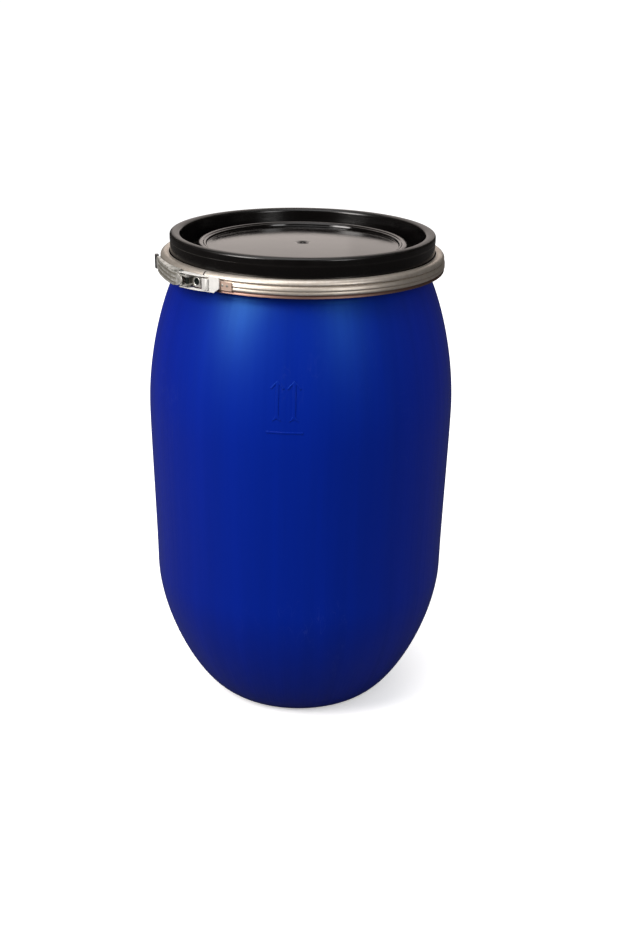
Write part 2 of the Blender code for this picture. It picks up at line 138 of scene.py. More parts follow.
# Clamp ring's outer side, from its top edge: inward from the bead, down from the top
BAND_SECTION = [(0.0148, 0.0006), (0.0115, 0.0001), (0.0080, 0.0001), (0.0048, 0.0012),
                (0.0024, 0.0034), (0.0013, 0.0062), (0.0020, 0.0080), (0.0027, 0.0089),
                (0.0020, 0.0098), (0.0009, 0.0116), (0.0001, 0.0144), (0.0004, 0.0156),
                (0.0007, 0.0164), (0.0005, 0.0172), (0.0, 0.0200), (0.0012, 0.0218),
                (0.0026, 0.0229), (0.0020, 0.0238), (0.0010, 0.0262)]
# Its lower lip: inward from the bead, up from the bottom
BAND_LIP = [(0.0022, 0.0004), (0.0052, 0.0), (0.0095, 0.0), (0.0135, 0.0002)]
BAND_SHEET = 0.0012
GAP_BEARING = 39.7
GAP_ANGLE = 0.6

# Latch
LEVER_CROWN = [(0.2442, 52.2), (0.2418, 57.0), (0.2386, 63.0), (0.2362, 69.0), (0.2348, 74.0),
               (0.2345, 77.0)]
YOKE_BEARINGS = (46.6, 58.0)
YOKE_RHO = 0.2456
YOKE_SHEET = 0.0013
RISE_BEARINGS = (52.0, 57.0)
RIB_BEARINGS = (49.6, 73.5)
RIB_HEIGHTS = (-0.0066, 0.0, 0.0066)
RIB_HALF = 0.0019
EYELET = ("fulcrum_rivet_1", 42.3, LATCH_Z - 0.0005, 0.0071)
EYELET_ROLL = 0.0007
DOMED_RIVETS = [("fulcrum_rivet_2", 48.5, LATCH_Z, 0.0028, 0.0010),
                ("hook_rivet_1", 28.1, LATCH_Z + 0.0010, 0.0020, 0.0006),
                ("hook_rivet_2", 30.1, LATCH_Z + 0.0010, 0.0020, 0.0006)]
PLATE_RHO = 0.2313
HEAD_RHO = 0.2341

# Lights: name, strength setting, share of it, place, aim, width, height, colour
STUDIO_MIDDLE = (0.0, 0.0, 0.5)
CARD_COLOUR = (1.0, 0.90, 0.85)
LIGHTS = [("key_light", "key_power", 1.0, (-1.75, -1.35, 1.95), STUDIO_MIDDLE, 0.9, 1.5,
           (1.0, 0.96, 0.93)),
          ("fill_light", "fill_power", 1.0, (1.35, -2.05, 1.75), STUDIO_MIDDLE, 0.7, 1.2,
           (1.0, 0.99, 0.98)),
          ("top_light", "top_power", 1.0, (-0.3, -0.3, 3.4), STUDIO_MIDDLE, 2.4, 2.4,
           (1.0, 1.0, 1.0)),
          ("back_card", "back_power", 0.92, (-0.40, 3.2, 2.1), (-0.40, 0.0, 0.8), 1.2, 2.7,
           CARD_COLOUR),
          ("back_card", "back_power", 0.80, (0.80, 3.2, 2.1), (0.80, 0.0, 0.8), 1.2, 2.7,
           CARD_COLOUR)]

# Camera: lens, place, and its tilt from straight down and roll, in degrees
CAMERA_LENS = 50.0
CAMERA_PLACE = (0.0179, -2.0710, 1.1990)
CAMERA_TILT = 68.781
CAMERA_ROLL = 0.853


# ---- outlines

def arc(centre, radius, start, end, steps):
    """Points of a circular stretch, both ends included, angles in degrees."""
    points = []
    for index in range(steps + 1):
        angle = math.radians(start + (end - start) * index / steps)
        points.append((centre[0] + radius * math.cos(angle), centre[1] + radius * math.sin(angle)))
    return points


def bezier(start, handle_a, handle_b, end, steps):
    """Points of one Bezier stretch of an outline, without its first point."""
    knots = [Vector(point).to_3d() for point in (start, handle_a, handle_b, end)]
    return [(point.x, point.y) for point in interpolate_bezier(*knots, steps + 1)[1:]]


def eased(corners, steps=4):
    """An outline whose corners, given as (x, y, ease), are rounded over that distance."""
    points = []
    for index, (x, y, ease) in enumerate(corners):
        here = Vector((x, y))
        if ease <= 0.0:
            points.append((x, y))
            continue
        before = Vector(corners[index - 1][:2])
        after = Vector(corners[(index + 1) % len(corners)][:2])
        start = here + ease * (before - here).normalized()
        end = here + ease * (after - here).normalized()
        for step in range(steps + 1):
            share = step / steps
            point = start.lerp(here, share).lerp(here.lerp(end, share), share)
            points.append((point.x, point.y))
    return points


def inner_side(outside, depth):
    """The other side of a sheet of even thickness, for an outline that runs up its outside."""
    inside = []
    for before, point, after in zip(outside[:1] + outside, outside, outside[1:] + outside[-1:]):
        along = (Vector(after) - Vector(before)).normalized()
        inside.append((point[0] - depth * along.y, point[1] + depth * along.x))
    return inside


def flowing(points, steps):
    """A smooth line through control points."""
    line = [points[0]]
    for index in range(len(points) - 1):
        p0 = Vector(points[max(index - 1, 0)])
        p1 = Vector(points[index])
        p2 = Vector(points[index + 1])
        p3 = Vector(points[min(index + 2, len(points) - 1)])
        line += bezier(p1, p1 + (p2 - p0) / 6.0, p2 - (p3 - p1) / 6.0, p2, steps)
    return line


def polar(rho, bearing, height):
    """The point at a distance and a bearing from the drum's axis."""
    angle = math.radians(bearing)
    return Vector((-rho * math.sin(angle), -rho * math.cos(angle), height))


def drum_outside():
    """The drum's outer side from the middle of its base to the neck root."""
    skin = eased(BASE_CORNERS)
    for handle_a, handle_b, end, steps in BODY_STRETCHES:
        skin += bezier(skin[-1], handle_a, handle_b, end, steps)
    return skin


DRUM_SIDE = drum_outside()


def drum_radius(height):
    """The drum's outer radius at a height between its chime and its neck."""
    for (radius_a, low), (radius_b, high) in zip(DRUM_SIDE, DRUM_SIDE[1:]):
        if low <= height <= high and high > low:
            return radius_a + (radius_b - radius_a) * (height - low) / (high - low)
    raise ValueError(f"no drum wall at height {height}")


# ---- meshes

def face_out(bm):
    """Turn every face outward."""
    bmesh.ops.recalc_face_normals(bm, faces=bm.faces)


def turned(outline, steps, closed=False, start=0.0, sweep=360.0):
    """Spin an outline of (radius, height) points about the Z axis."""
    bm = bmesh.new()
    turn = Matrix.Rotation(math.radians(start), 3, "Z")
    verts = [bm.verts.new(turn @ Vector((radius, 0.0, height))) for radius, height in outline]
    edges = [bm.edges.new(pair) for pair in zip(verts, verts[1:])]
    if closed:
        edges.append(bm.edges.new((verts[-1], verts[0])))
    geometry = verts + edges
    full = abs(sweep - 360.0) < 1e-6
    if closed and not full:
        geometry.append(bm.faces.new(verts))
    bmesh.ops.spin(bm, geom=geometry, cent=(0, 0, 0), axis=(0, 0, 1), angle=math.radians(sweep),
                   steps=steps, use_merge=full, use_duplicate=False)
    bmesh.ops.remove_doubles(bm, verts=bm.verts, dist=1e-6)
    face_out(bm)
    return bm


def raised(outline, height):
    """A flat outline in X and Y raised along Z by a height."""
    bm = bmesh.new()
    face = bm.faces.new([bm.verts.new((x, y, 0.0)) for x, y in outline])
    lifted = bmesh.ops.extrude_face_region(bm, geom=[face])
    top = [item for item in lifted["geom"] if isinstance(item, bmesh.types.BMVert)]
    bmesh.ops.translate(bm, verts=top, vec=(0, 0, height))
    face_out(bm)
    return bm


def bevelled(bm, edges, width, segments):
    """Round some edges of a mesh."""
    bmesh.ops.bevel(bm, geom=edges, offset=width, offset_type="OFFSET", segments=segments,
                    profile=0.5, affect="EDGES", clamp_overlap=True, material=-1)


def sliced(bm, at, normal, clear=False):
    """Cut a mesh along a plane, drop what lies outside if asked, and return the cut."""
    geometry = bm.verts[:] + bm.edges[:] + bm.faces[:]
    return bmesh.ops.bisect_plane(bm, geom=geometry, plane_co=at, plane_no=normal,
                                  clear_outer=clear)["geom_cut"]


def place(bm, matrix):
    """Move a whole mesh."""
    bmesh.ops.transform(bm, matrix=matrix, verts=bm.verts)


def joined(meshes):
    """One mesh holding several."""
    whole = bmesh.new()
    for bm in meshes:
        part = bpy.data.meshes.new("part")
        bm.to_mesh(part)
        bm.free()
        whole.from_mesh(part)
        bpy.data.meshes.remove(part)
    return whole


def merged_copy(node):
    """A CAD node's shape with its vertices merged and its flat faces joined."""
    bm = bmesh.new()
    bm.from_mesh(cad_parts[node].data)
    bmesh.ops.remove_doubles(bm, verts=bm.verts, dist=1e-5)
    bmesh.ops.dissolve_limit(bm, angle_limit=math.radians(1.0), verts=bm.verts, edges=bm.edges)
    face_out(bm)
    return bm


def finished(name, bm, material, body, nodes=(), sharp=35.0):
    """Turn a mesh into a piece that rides on a body and stands for some CAD nodes."""
    mesh = bpy.data.meshes.new(name)
    bm.to_mesh(mesh)
    bm.free()
    piece = bpy.data.objects.new(name, mesh)
    bpy.context.scene.collection.objects.link(piece)
    mesh.materials.append(material)
    mesh.shade_smooth()
    mesh.set_sharp_from_angle(angle=math.radians(sharp))
    if nodes:
        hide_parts(*nodes)
    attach(piece, body)
    return piece


def soften(piece, width, segments):
    """Round a stamped or moulded piece's edges with a live bevel."""
    bevel = piece.modifiers.new("rounded_edges", "BEVEL")
    bevel.width = width
    bevel.segments = segments
    bevel.limit_method = "ANGLE"
    bevel.angle_limit = math.radians(32.0)
    bevel.use_clamp_overlap = True
    bevel.harden_normals = False


# ---- node helpers

def add(tree, kind, inputs=None, **settings):
    """A node with its settings, and its inputs set or linked."""
    node = tree.nodes.new(kind)
    for name, value in settings.items():
        setattr(node, name, value)
    for key, value in (inputs or {}).items():
        if isinstance(value, bpy.types.NodeSocket):
            tree.links.new(value, node.inputs[key])
        else:
            node.inputs[key].default_value = value
    return node


def calc(tree, operation, first, second=0.0):
    """One arithmetic step on values."""
    return add(tree, "ShaderNodeMath", {0: first, 1: second}, operation=operation).outputs[0]


def times(tree, first, second):
    """The product of two values."""
    return calc(tree, "MULTIPLY", first, second)


def plus(tree, first, second):
    """The sum of two values."""
    return calc(tree, "ADD", first, second)


def spread(tree, value, low, high, to_low=0.0, to_high=1.0):
    """A value moved from one range to another, held at its ends."""
    node = add(tree, "ShaderNodeMapRange", {"Value": value, "From Min": low, "From Max": high,
                                            "To Min": to_low, "To Max": to_high}, clamp=True)
    return node.outputs["Result"]


def blended(tree, share, first, second):
    """A colour between two, by a share."""
    low, high = [value if isinstance(value, bpy.types.NodeSocket) else (*value[:3], 1.0)
                 for value in (first, second)]
    return add(tree, "ShaderNodeMix", {0: share, 6: low, 7: high}, data_type="RGBA",
               clamp_factor=True).outputs[2]


def object_point(tree):
    """The shaded point in the piece's own coordinates."""
    return add(tree, "ShaderNodeTexCoord").outputs["Object"]


def noise(tree, point, scale, detail=3.0, roughness=0.5):
    """A noise value."""
    node = add(tree, "ShaderNodeTexNoise", {"Vector": point, "Scale": scale, "Detail": detail,
                                            "Roughness": roughness})
    return node.outputs["Fac"]


def round_axis(tree):
    """The radius, the height and the direction from the drum's axis of the shaded point."""
    point = object_point(tree)
    parts = add(tree, "ShaderNodeSeparateXYZ", {"Vector": point})
    flat = add(tree, "ShaderNodeCombineXYZ", {"X": parts.outputs["X"], "Y": parts.outputs["Y"]})
    away, facing = [add(tree, "ShaderNodeVectorMath", {0: flat.outputs[0]}, operation=kind)
                    for kind in ("LENGTH", "NORMALIZE")]
    return away.outputs["Value"], parts.outputs["Z"], facing.outputs["Vector"]


# ---- shared effects

def effect(name, inputs, outputs):
    """An empty shader node group with named inputs and outputs, and its two end nodes."""
    group = bpy.data.node_groups.new(name, "ShaderNodeTree")
    for label, default in inputs:
        item = group.interface.new_socket(name=label, in_out="INPUT", socket_type="NodeSocketFloat")
        item.default_value = default
    for label in outputs:
        group.interface.new_socket(name=label, in_out="OUTPUT", socket_type="NodeSocketFloat")
    start = group.nodes.new("NodeGroupInput")
    end = group.nodes.new("NodeGroupOutput")
    return group, start.outputs, end.inputs


def make_fine_grain():
    """The fine pebbling that a mould leaves on plastic, and its slow unevenness."""
    group, given, result = effect("Fine Grain", [("Scale", 900.0), ("Waves", 9.0)],
                                  ["Grain", "Unevenness"])
    point = object_point(group)
    fine = noise(group, point, given["Scale"], 2.0, 0.6)
    coarse = noise(group, point, times(group, given["Scale"], 0.31), 2.0, 0.5)
    group.links.new(times(group, plus(group, fine, coarse), 0.5), result["Grain"])
    group.links.new(noise(group, point, given["Waves"], 2.0, 0.4), result["Unevenness"])
    return group


def make_mould_streaks():
    """Streaks that run up a blown wall, from the die that the plastic was drawn through."""
    group, given, result = effect("Mould Streaks", [("Count", 60.0), ("Stretch", 1.6)],
                                  ["Streaks", "Bands"])
    _, height, facing = round_axis(group)
    parts = add(group, "ShaderNodeSeparateXYZ", {"Vector": facing})
    rise = times(group, height, given["Stretch"])
    for label, share in (("Streaks", 1.0), ("Bands", 0.13)):
        count = times(group, given["Count"], share)
        place_on_wall = add(group, "ShaderNodeCombineXYZ", {
            "X": times(group, parts.outputs["X"], count),
            "Y": times(group, parts.outputs["Y"], count), "Z": rise})
        group.links.new(noise(group, place_on_wall.outputs[0], 1.0, 3.0, 0.55), result[label])
    return group


def make_rolled_lines():
    """Fine lines that run round the drum's axis, as rolling and turning leave them."""
    group, given, result = effect("Rolled Lines", [("Lines", 1500.0), ("Length", 5.0)], ["Lines"])
    radius, height, facing = round_axis(group)
    parts = add(group, "ShaderNodeSeparateXYZ", {"Vector": facing})
    across = times(group, plus(group, height, times(group, radius, 0.7)),
                  given["Lines"])
    spot = add(group, "ShaderNodeCombineXYZ", {
        "X": times(group, parts.outputs["X"], given["Length"]),
        "Y": times(group, parts.outputs["Y"], given["Length"]), "Z": across})
    group.links.new(noise(group, spot.outputs[0], 1.0, 4.0, 0.6), result["Lines"])
    return group


def make_zinc_bloom():
    """The crystal patches and dull clouds of a zinc coating."""
    group, given, result = effect("Zinc Bloom", [("Scale", 160.0)], ["Crystals", "Clouds"])
    point = object_point(group)
    cells = add(group, "ShaderNodeTexVoronoi", {"Vector": point, "Scale": given["Scale"]})
    tones = add(group, "ShaderNodeSeparateColor", {"Color": cells.outputs["Color"]})
    group.links.new(tones.outputs["Red"], result["Crystals"])
    clouds = noise(group, point, times(group, given["Scale"], 0.2), 4.0, 0.6)
    group.links.new(spread(group, clouds, 0.35, 0.7), result["Clouds"])
    return group


def make_scuffs():
    """Thin scratches in patches, where a drum is handled and set down."""
    group, given, result = effect("Handling Scuffs", [("Scale", 30.0), ("Thinness", 0.010)],
                                  ["Scuffs"])
    point = object_point(group)
    lines = []
    for turn, offset in (((0.4, 0.2, 0.9), 0.0), ((1.3, 0.7, -0.5), 3.1)):
        mapped = add(group, "ShaderNodeMapping", {"Vector": point, "Rotation": turn,
                                                  "Location": (offset, 0.0, 0.0),
                                                  "Scale": (1.0, 0.10, 0.25)})
        field = noise(group, mapped.outputs[0], given["Scale"], 2.0, 0.4)
        away = calc(group, "ABSOLUTE", calc(group, "SUBTRACT", field, 0.5))
        lines.append(calc(group, "LESS_THAN", away, given["Thinness"]))
    patch = spread(group, noise(group, point, 7.0, 2.0), 0.52, 0.64)
    both = calc(group, "MAXIMUM", lines[0], lines[1])
    group.links.new(times(group, both, patch), result["Scuffs"])
    return group


def make_settled_dust():
    """Dust that lies on surfaces that face up."""
    group, given, result = effect("Settled Dust", [("Cover", 0.5)], ["Dust"])
    facing = add(group, "ShaderNodeNewGeometry").outputs["Normal"]
    parts = add(group, "ShaderNodeSeparateXYZ", {"Vector": facing})
    level = spread(group, parts.outputs["Z"], 0.35, 1.0)
    cloud = noise(group, object_point(group), 26.0, 6.0, 0.65)
    patchy = spread(group, cloud, calc(group, "SUBTRACT", 0.85, given["Cover"]), 0.95)
    group.links.new(times(group, level, patchy), result["Dust"])
    return group


def make_edge_wear():
    """Rubbed outer edges and filled inner corners, broken up so that they aren't even."""
    group, given, result = effect("Edge Wear", [("Reach", 0.06), ("Break Up", 120.0)],
                                  ["Edges", "Corners"])
    sharpness = add(group, "ShaderNodeNewGeometry").outputs["Pointiness"]
    breakup = spread(group, noise(group, object_point(group), given["Break Up"], 4.0), 0.3, 0.65)
    outer = spread(group, sharpness, 0.5, plus(group, 0.5, given["Reach"]))
    inner = spread(group, sharpness, 0.5, calc(group, "SUBTRACT", 0.5, given["Reach"]))
    group.links.new(times(group, outer, breakup), result["Edges"])
    group.links.new(times(group, inner, breakup), result["Corners"])
    return group


EFFECTS = {"grain": make_fine_grain(), "streaks": make_mould_streaks(), "lines": make_rolled_lines(),
           "bloom": make_zinc_bloom(), "scuffs": make_scuffs(), "dust": make_settled_dust(),
           "wear": make_edge_wear()}


def use(tree, effect_name, **inputs):
    """A shared effect placed in a material, with its own values."""
    values = {name.replace("_", " "): value for name, value in inputs.items()}
    return add(tree, "ShaderNodeGroup", values, node_tree=EFFECTS[effect_name]).outputs


# ---- finishes

def new_finish(name):
    """A material, its node tree and its Principled shader."""
    material = bpy.data.materials.new(name)
    material.use_nodes = True
    tree = material.node_tree
    return material, tree, tree.nodes["Principled BSDF"]


def bump(tree, height, strength, distance, under=None):
    """A bump step, on top of another one if given."""
    inputs = {"Height": height, "Strength": strength, "Distance": distance}
    if under is not None:
        inputs["Normal"] = under
    return add(tree, "ShaderNodeBump", inputs).outputs["Normal"]


def wire(tree, shader, colour, roughness, normal):
    """Feed a Principled shader."""
    tree.links.new(colour, shader.inputs["Base Color"])
    tree.links.new(roughness, shader.inputs["Roughness"])
    tree.links.new(normal, shader.inputs["Normal"])


def blue_polyethylene(colours):
    """Dyed blow-moulded polyethylene: satin, faintly streaked and grained."""
    material, tree, shader = new_finish("blue_polyethylene")
    grain = use(tree, "grain", Scale=1100.0, Waves=7.0)
    streaks = use(tree, "streaks", Count=70.0, Stretch=1.4)
    scuffs = use(tree, "scuffs", Scale=60.0, Thinness=0.004)["Scuffs"]
    dust = use(tree, "dust", Cover=0.35)["Dust"]
    blue = colours.drum_blue
    dark = [0.90 * channel for channel in blue]
    tone = blended(tree, spread(tree, streaks["Bands"], 0.35, 0.65), dark, blue)
    rubbed = blended(tree, times(tree, scuffs, 0.05), tone, (0.10, 0.14, 0.42))
    dusty = blended(tree, times(tree, dust, 0.10), rubbed, (0.35, 0.33, 0.31))
    roughness = spread(tree, streaks["Streaks"], 0.25, 0.75, 0.36, 0.46)
    roughness = plus(tree, roughness, times(tree, scuffs, 0.05))
    normal = bump(tree, grain["Unevenness"], 0.30, 0.003)
    normal = bump(tree, streaks["Streaks"], 0.12, 0.0005, normal)
    normal = bump(tree, grain["Grain"], 0.30, 0.00025, normal)
    wire(tree, shader, dusty, roughness, normal)
    shader.inputs["Specular IOR Level"].default_value = 0.44
    shader.inputs["Specular Tint"].default_value = (0.10, 0.47, 1.0, 1.0)
    return material


def black_polyethylene(colours):
    """Smooth injection-moulded black polyethylene with a soft gloss."""
    material, tree, shader = new_finish("black_polyethylene")
    grain = use(tree, "grain", Scale=1400.0, Waves=14.0)
    lines = use(tree, "lines", Lines=900.0, Length=6.0)["Lines"]
    scuffs = use(tree, "scuffs", Scale=80.0, Thinness=0.004)["Scuffs"]
    dust = use(tree, "dust", Cover=0.30)["Dust"]
    edges = use(tree, "wear", Reach=0.08, Break_Up=60.0)["Edges"]
    tone = blended(tree, times(tree, edges, 0.35), colours.lid_black, (0.030, 0.027, 0.026))
    rubbed = blended(tree, times(tree, scuffs, 0.05), tone, (0.050, 0.048, 0.048))
    dusty = blended(tree, times(tree, dust, 0.04), rubbed, (0.30, 0.28, 0.27))
    roughness = spread(tree, grain["Unevenness"], 0.3, 0.7, 0.08, 0.12)
    roughness = plus(tree, roughness, times(tree, scuffs, 0.03))
    roughness = plus(tree, roughness, times(tree, dust, 0.06))
    radius, height, _ = round_axis(tree)
    collar = spread(tree, radius, 0.158, 0.170, 0.0, 0.08)
    rubbed_land = spread(tree, height, TOP - 0.0050, TOP - 0.0015, 0.0, 0.18)
    roughness = plus(tree, plus(tree, roughness, collar), rubbed_land)
    normal = bump(tree, grain["Unevenness"], 0.12, 0.002)
    normal = bump(tree, lines, 0.10, 0.0003, normal)
    normal = bump(tree, grain["Grain"], 0.18, 0.00015, normal)
    wire(tree, shader, dusty, roughness, normal)
    shader.inputs["Specular IOR Level"].default_value = 0.40
    return material


def foam_rubber(colours):
    """Closed-cell foam."""
    material, tree, shader = new_finish("foam_rubber")
    grain = use(tree, "grain", Scale=2600.0, Waves=40.0)
    dark = [0.7 * channel for channel in colours.foam_grey]
    tone = blended(tree, grain["Grain"], dark, colours.foam_grey)
    normal = bump(tree, grain["Grain"], 0.6, 0.0005)
    wire(tree, shader, tone, spread(tree, grain["Unevenness"], 0.3, 0.7, 0.85, 0.95), normal)
    return material


def low_band_darkening(tree, tone):
    """Turns the clamp ring's lower groove and lips darker and browner towards the bottom."""
    _, height, _ = round_axis(tree)
    # Darker and browner below this height, by height alone
    low = spread(tree, height, BAND_LOW + 0.0064, BAND_LOW + 0.0048, 0.0, 0.90)
    return blended(tree, low, tone, (0.170, 0.085, 0.066))


def plate_stain(tree, tone):
    """The warm film on the hook's plate, which its rubbed nose doesn't have."""
    radius, _, _ = round_axis(tree)
    flat = spread(tree, radius, PLATE_RHO + 0.0040, PLATE_RHO + 0.0018, 0.0, 0.9)
    return blended(tree, flat, tone, (0.600, 0.420, 0.330))


def zinc(name, bright, scale, lines_depth, rough, metal=1.0, recolour=None):
    """Zinc-coated steel: clouded, finely lined, worn bright on edges and dull in corners."""
    material, tree, shader = new_finish(name)
    bloom = use(tree, "bloom", Scale=scale)
    lines = use(tree, "lines", Lines=2200.0, Length=4.0)["Lines"]
    wear = use(tree, "wear", Reach=0.03, Break_Up=150.0)
    dull = [0.78 * channel for channel in bright]
    tarnish = (0.30 * bright[0], 0.22 * bright[1], 0.17 * bright[2])
    clouded = blended(tree, bloom["Clouds"], bright, dull)
    spangled = blended(tree, times(tree, bloom["Crystals"], 0.16), clouded, dull)
    lined = blended(tree, spread(tree, lines, 0.35, 0.8, 0.0, 0.30), spangled, dull)
    tone = blended(tree, times(tree, wear["Corners"], 0.9), lined, tarnish)
    tone = blended(tree, times(tree, wear["Edges"], 0.5), tone, (0.80, 0.79, 0.77))
    if recolour is not None:
        tone = recolour(tree, tone)
    roughness = spread(tree, lines, 0.3, 0.75, rough, rough + 0.10)
    roughness = plus(tree, roughness, times(tree, bloom["Clouds"], 0.06))
    normal = bump(tree, lines, lines_depth, 0.0004)
    normal = bump(tree, bloom["Crystals"], 0.05, 0.0002, normal)
    wire(tree, shader, tone, roughness, normal)
    shader.inputs["Metallic"].default_value = metal
    return material


def grip_plastic(colours):
    """The soft black cap on the lever's tip."""
    material, tree, shader = new_finish("grip_plastic")
    grain = use(tree, "grain", Scale=1800.0, Waves=60.0)
    edges = use(tree, "wear", Reach=0.06, Break_Up=200.0)["Edges"]
    tone = blended(tree, times(tree, edges, 0.3), colours.grip_black, (0.05, 0.05, 0.05))
    normal = bump(tree, grain["Grain"], 0.35, 0.0003)
    wire(tree, shader, tone, spread(tree, grain["Unevenness"], 0.3, 0.7, 0.38, 0.52), normal)
    return material


PLASTICS = {"blue_polyethylene": blue_polyethylene, "black_polyethylene": black_polyethylene,
            "foam_rubber": foam_rubber, "grip_plastic": grip_plastic}
# Zinc finishes: tint, crystal scale, depth of lines, roughness, metal, extra colouring by place
ZINCS = {"rolled_zinc": ("band_zinc", 150.0, 0.20, 0.40, 0.90, low_band_darkening),
         "stamped_zinc": ("latch_zinc", 320.0, 0.12, 0.26, 0.8),
         "hook_zinc": ("bright_zinc", 320.0, 0.12, 0.40, 0.7, plate_stain),
         # The lever's finish holds painted shade: its olive tint is darkened to stand for the dark
         # surround that the lever reflects
         "lever_zinc_and_shade": ("lever_zinc_and_shade", 260.0, 0.16, 0.34, 0.45),
         "bright_zinc": ("bright_zinc", 320.0, 0.10, 0.46, 0.6),
         "dark_steel_and_shade": ("dark_steel_and_shade", 420.0, 0.10, 0.34)}
FINISHES_MADE = {}


def finish(name):
    """A finish by name, made the first time it is asked for."""
    if name not in FINISHES_MADE:
        colours = bpy.context.scene.drum_colours
        if name in PLASTICS:
            FINISHES_MADE[name] = PLASTICS[name](colours)
        else:
            tint, *traits = ZINCS[name]
            FINISHES_MADE[name] = zinc(name, getattr(colours, tint), *traits)
    return FINISHES_MADE[name]


# ---- settings

def length(name, description, default, shortest, longest):
    """A length setting."""
    return FloatProperty(name=name, description=description, default=default, min=shortest,
                         max=longest, unit="LENGTH", subtype="DISTANCE")


def colour(name, description, default):
    """A colour setting."""
    return FloatVectorProperty(name=name, description=description, default=default, size=3,
                               min=0.0, max=1.0, subtype="COLOR")


def power(name, description, default):
    """A light's strength setting."""
    return FloatProperty(name=name, description=description, default=default, min=0.0,
                         unit="POWER")


class DrumSizes(bpy.types.PropertyGroup):
    """Sizes of the fine detail that the frame doesn't fix."""
    turn_steps: IntProperty(name="Turn Steps", description="Facets round each turned piece",
                            default=180, min=24, max=360)
    relief: length("Arrow Relief", "How far the arrows stand off the wall", 0.0008, 0.0002, 0.003)
    stamped_edge: length("Stamped Edge", "Rounding of stamped steel edges", 0.00030, 0.0, 0.001)
    rib_height: length("Rib Height", "How far the lever's ribs stand up", 0.0009, 0.0, 0.002)


class DrumColours(bpy.types.PropertyGroup):
    """Base colours of the drum's materials."""
    drum_blue: colour("Drum Blue", "Dye of the drum's wall", (0.0004, 0.0085, 0.215))
    lid_black: colour("Lid Black", "Dye of the lid", (0.0017, 0.0014, 0.0014))
    foam_grey: colour("Foam Grey", "Colour of the gasket", (0.120, 0.120, 0.125))
    band_zinc: colour("Band Zinc", "Tint of the clamp ring", (0.620, 0.550, 0.475))
    latch_zinc: colour("Latch Zinc", "Tint of the latch", (0.660, 0.655, 0.620))
    # Olive plating tint, darkened further as painted shade for the lever, its lug and its rivet domes
    lever_zinc_and_shade: colour("Lever Zinc", "Olive passivated tint of the lever", (0.215, 0.206, 0.172))
    bright_zinc: colour("Bright Zinc", "White plating of the link", (0.930, 0.920, 0.890))
    # Near-black steel: the pins' own colour, and painted shade on the disc in the eyelet's middle
    dark_steel_and_shade: colour("Dark Steel", "Bare shank of the eyelet's rivet", (0.020, 0.034, 0.030))
    grip_black: colour("Grip Black", "Colour of the lever's cap", (0.012, 0.012, 0.013))


class StudioSettings(bpy.types.PropertyGroup):
    """Strengths of the studio lights."""
    key_power: power("Key", "Softbox at the front left", 72.0)
    fill_power: power("Fill", "Softbox at the front right", 18.0)
    top_power: power("Top", "Large panel overhead", 45.0)
    back_power: power("Back", "Cards behind the drum", 12.5)


# ---- operators

class DRUM_OT_body(bpy.types.Operator):
    """Blow-moulded skin with its base, foot, flange and rolled lip"""
    bl_idname = "drum.body"
    bl_label = "Drum Body"

    def execute(self, context):
        lip = 0.5 * WALL
        low, high = DRUM_FLANGE
        flange = eased([(*NECK_ROOT, 0.0), (NECK_ROOT[0] + 0.0003, low, 0.0040),
                        (FLANGE_RADIUS, low, 0.0018), (FLANGE_RADIUS, high, 0.0018),
                        (NECK_RADIUS, high, 0.0020), (NECK_RADIUS, NECK_TOP - lip, 0.0)])[1:-1]
        rim = arc((NECK_RADIUS - lip, NECK_TOP - lip), lip, 0, 180, 8)
        neck_inside = [(NECK_RADIUS - WALL, low)]
        inside = list(reversed(inner_side(DRUM_SIDE, WALL)))
        bm = turned(DRUM_SIDE + flange + rim + neck_inside + inside,
                    context.scene.drum_sizes.turn_steps)
        finished("drum_skin", bm, finish("blue_polyethylene"), "drum", ["drum_body"])
        return {"FINISHED"}


class DRUM_OT_pinch_line(bpy.types.Operator):
    """Welded pinch line that closing the mould leaves across the base"""
    bl_idname = "drum.pinch_line"
    bl_label = "Base Pinch Line"

    def execute(self, context):
        bm = bmesh.new()
        bmesh.ops.create_cube(bm, size=1.0)
        place(bm, Matrix.Translation((0, 0, PINCH_LEVEL)) @ Matrix.Diagonal((*PINCH_SIZE, 1.0)))
        bmesh.ops.subdivide_edges(bm, edges=[edge for edge in bm.edges if edge.calc_length() > 0.1],
                                  cuts=24, use_grid_fill=True)
        bevelled(bm, [edge for edge in bm.edges if edge.calc_face_angle(0.0) > 0.5],
                 PINCH_ROUND, 3)
        finished("base_pinch_line", bm, finish("blue_polyethylene"), "drum")
        return {"FINISHED"}


def wrapped(bm, bearing):
    """Lay a flat mesh on the drum's wall: X along the wall, Y up from the floor, Z outward."""
    for vert in bm.verts:
        along, height, out = vert.co
        radius = drum_radius(height)
        turn = bearing - math.degrees(along / radius)
        vert.co = polar(radius + out, turn, height)


